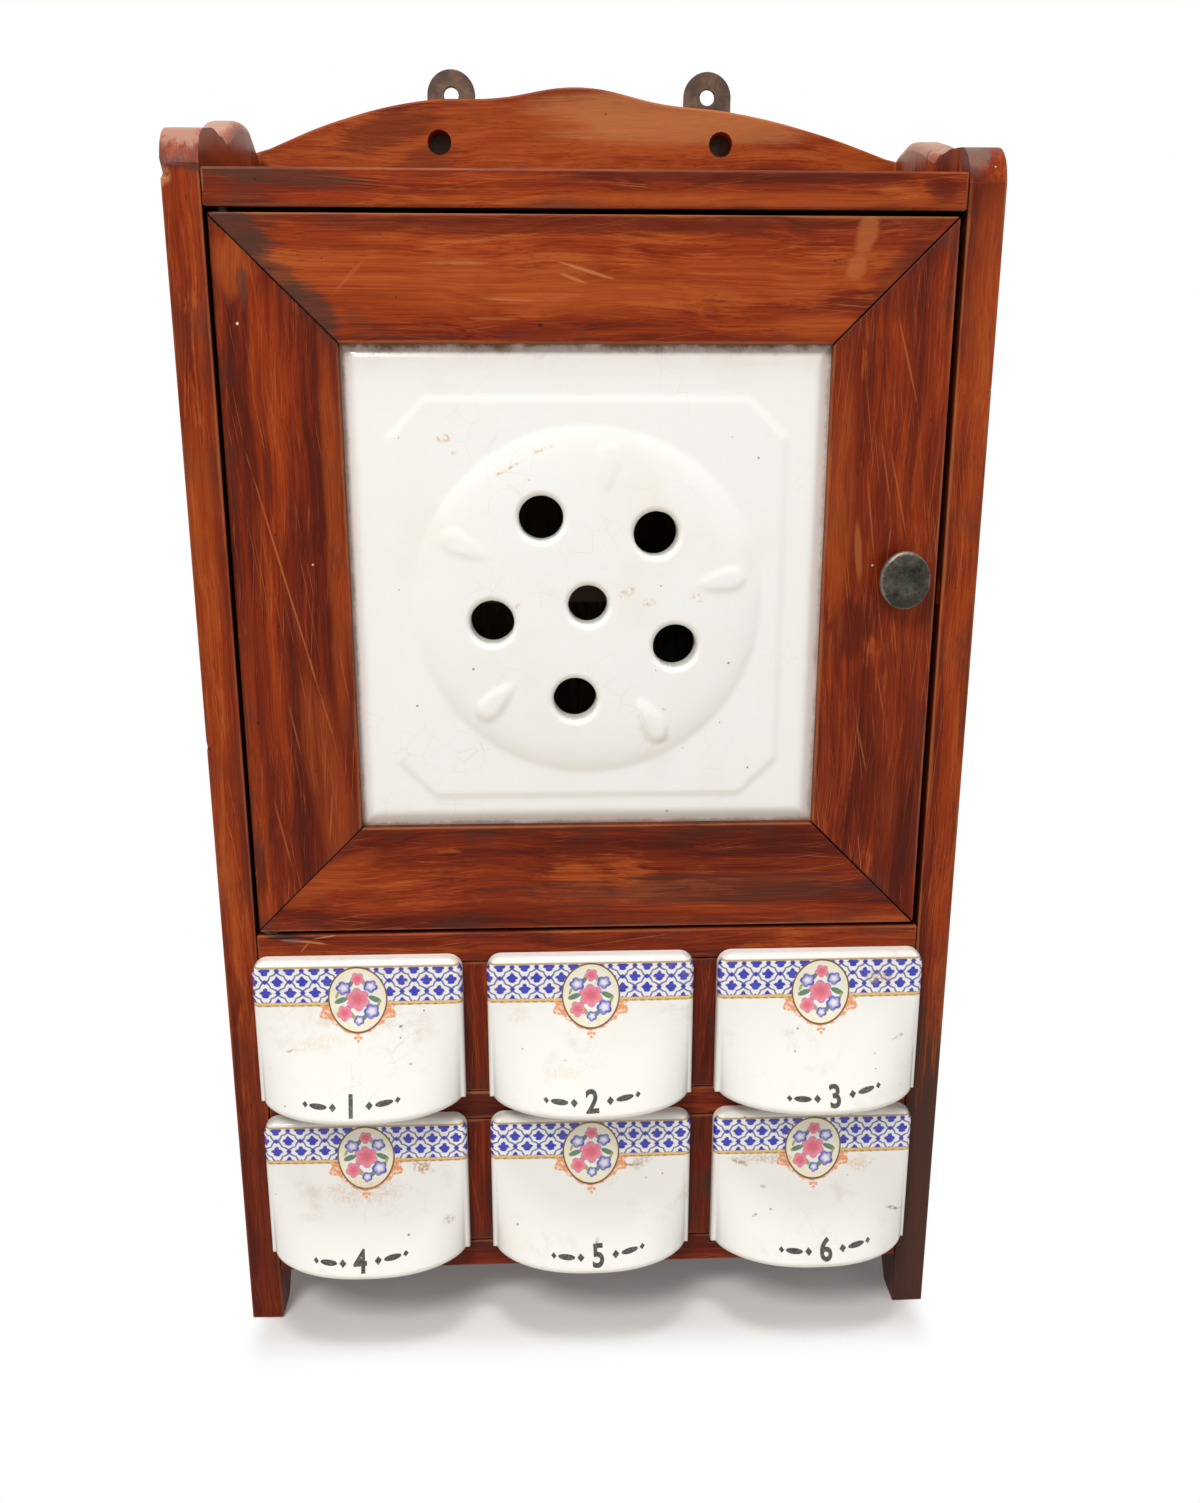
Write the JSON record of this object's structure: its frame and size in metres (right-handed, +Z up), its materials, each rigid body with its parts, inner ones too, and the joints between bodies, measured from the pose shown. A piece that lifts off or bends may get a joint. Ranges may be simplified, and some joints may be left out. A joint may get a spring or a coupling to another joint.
{
  "type": "spice cabinet",
  "caption": "Wall spice cabinet in stained wood: a door with a ceramic vent tile and a turn knob over ceramic scoop drawers, with shaped ears, a crest board and iron hanging lugs.",
  "frame": {"origin": "on the floor under the feet, below the middle of the cabinet's bounding box", "axes": "+X to the viewer's right, +Y from the front towards the wall, +Z up"},
  "size_m": [0.3, 0.152, 0.5296],
  "materials": {
    "stained_wood": "red-brown mahogany stain, worn satin",
    "inner_wood": "plain wood, thinly stained",
    "tile_glaze": "white gloss glaze",
    "drawer_glaze": "cream white gloss glaze with a printed band",
    "dark_iron": "dark patinated iron",
    "worn_brass": "dull patinated metal with a coppery rim"
  },
  "bodies": {
    "cabinet": {"side_left": "stained_wood", "side_right": "stained_wood", "bottom_board": "stained_wood", "drawer_shelf": "stained_wood", "cupboard_floor": "stained_wood", "top_board": "stained_wood", "divider_lower_1": "stained_wood", "divider_lower_2": "stained_wood", "divider_upper_1": "stained_wood", "divider_upper_2": "stained_wood", "back_panel": "inner_wood", "inner_shelf": "inner_wood", "shelf_cleat_left": "inner_wood", "shelf_cleat_right": "inner_wood", "crest_board": "stained_wood", "hanging_lug_left": "dark_iron", "hanging_lug_right": "dark_iron", "lug_screw_left_low": "dark_iron", "lug_screw_left_high": "dark_iron", "lug_screw_right_low": "dark_iron", "lug_screw_right_high": "dark_iron", "pivot_pin_bottom": "dark_iron", "pivot_pin_top": "dark_iron", "pivot_washer": "dark_iron"},
    "door": {"door_rail_top": "stained_wood", "door_rail_bottom": "stained_wood", "door_stile_left": "stained_wood", "door_stile_right": "stained_wood", "door_tile": "tile_glaze", "tile_bead_top": "stained_wood", "tile_bead_bottom": "stained_wood", "tile_bead_left": "stained_wood", "tile_bead_right": "stained_wood", "latch_cover": "dark_iron", "latch_screw_top": "dark_iron", "latch_screw_bottom": "dark_iron"},
    "knob": {"knob": "worn_brass", "latch_spindle": "dark_iron"},
    "bolt": {"latch_bolt": "dark_iron"},
    "drawer_1": {"drawer_1": "drawer_glaze"},
    "drawer_2": {"drawer_2": "drawer_glaze"},
    "drawer_3": {"drawer_3": "drawer_glaze"},
    "drawer_4": {"drawer_4": "drawer_glaze"},
    "drawer_5": {"drawer_5": "drawer_glaze"},
    "drawer_6": {"drawer_6": "drawer_glaze"}
  },
  "joints": [
    {"name": "door_hinge", "type": "hinge", "parent": "cabinet", "child": "door", "pos_m": [-0.1303, -0.04425, 0.1846], "axis": [0, 0, -1], "range_deg": [0, 95]},
    {"name": "knob_turn", "type": "hinge", "parent": "door", "child": "knob", "pos_m": [0.1197, -0.04925, 0.3278], "axis": [0, -1, 0], "range_deg": [0, 60]},
    {"name": "bolt_slide", "type": "slide", "parent": "door", "child": "bolt", "axis": [1, 0, 0], "range_m": [0, 0.0056]},
    {"name": "drawer_1_slide", "type": "slide", "parent": "cabinet", "child": "drawer_1", "axis": [0, -1, 0], "range_m": [0, 0.095]},
    {"name": "drawer_2_slide", "type": "slide", "parent": "cabinet", "child": "drawer_2", "axis": [0, -1, 0], "range_m": [0, 0.095]},
    {"name": "drawer_3_slide", "type": "slide", "parent": "cabinet", "child": "drawer_3", "axis": [0, -1, 0], "range_m": [0, 0.095]},
    {"name": "drawer_4_slide", "type": "slide", "parent": "cabinet", "child": "drawer_4", "axis": [0, -1, 0], "range_m": [0, 0.095]},
    {"name": "drawer_5_slide", "type": "slide", "parent": "cabinet", "child": "drawer_5", "axis": [0, -1, 0], "range_m": [0, 0.095]},
    {"name": "drawer_6_slide", "type": "slide", "parent": "cabinet", "child": "drawer_6", "axis": [0, -1, 0], "range_m": [0, 0.095]}
  ],
  "couplings": [
    {"joint": "bolt_slide", "follows": "knob_turn", "m_per_rad": 0.005347}
  ]
}
